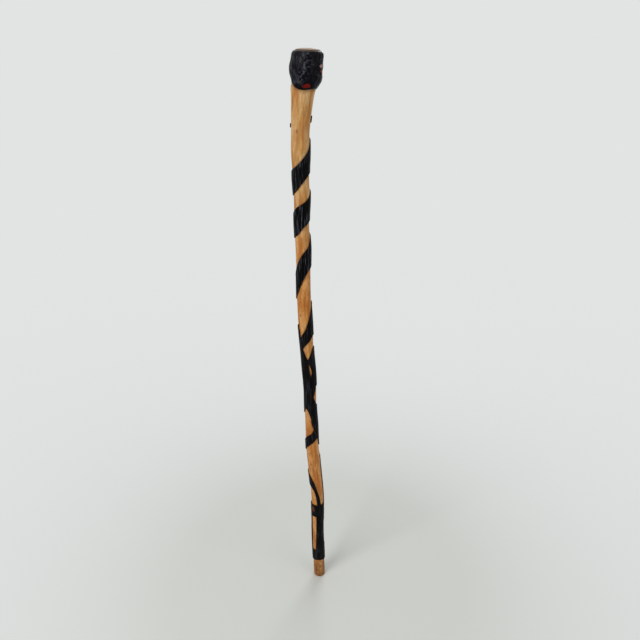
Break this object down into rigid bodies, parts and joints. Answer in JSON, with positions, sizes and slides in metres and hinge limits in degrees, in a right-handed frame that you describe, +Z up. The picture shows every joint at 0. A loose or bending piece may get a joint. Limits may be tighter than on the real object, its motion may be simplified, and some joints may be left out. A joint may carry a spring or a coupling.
{
  "type": "single point cane",
  "caption": "Crooked hardwood walking stick with a carved dark knob, a raised spiral and lattice of dark bark, a bark sleeve near the bare flat tip.",
  "frame": {"origin": "centre of the flat tip's underside", "axes": "+Z up the stick from the tip to the knob; -Y is the front, towards which the knob leans; +X is the right-hand side seen from the front"},
  "size_m": [0.0519, 0.0496, 0.9218],
  "materials": {
    "shaft_wood": "oiled satin",
    "end_grain_wood": "sanded end grain",
    "pin_wood": "turned",
    "carved_bark": "carved, dark, semi-gloss",
    "bark": "dark bark, semi-gloss",
    "scraped_bark": "scraped inner bark",
    "red_paint": "painted red",
    "pale_paint": "painted pinkish white"
  },
  "bodies": {
    "root": {"shaft": "shaft_wood", "knob_core": "end_grain_wood", "knob_pin": "pin_wood", "knob_bark": "carved_bark", "red_lens_inlay": "red_paint", "pale_spot_inlay": "pale_paint", "red_spot_inlay": "red_paint", "back_band": "bark", "upper_spiral_strip": "bark", "lower_spiral_strip": "bark", "left_strip": "bark", "lattice_panel": "bark", "cross_strip": "bark", "side_bar": "bark", "hook_strip": "bark", "back_rail": "bark", "lower_vine": "bark", "tip_sleeve": "bark", "scraped_patch": "scraped_bark"}
  },
  "joints": []
}
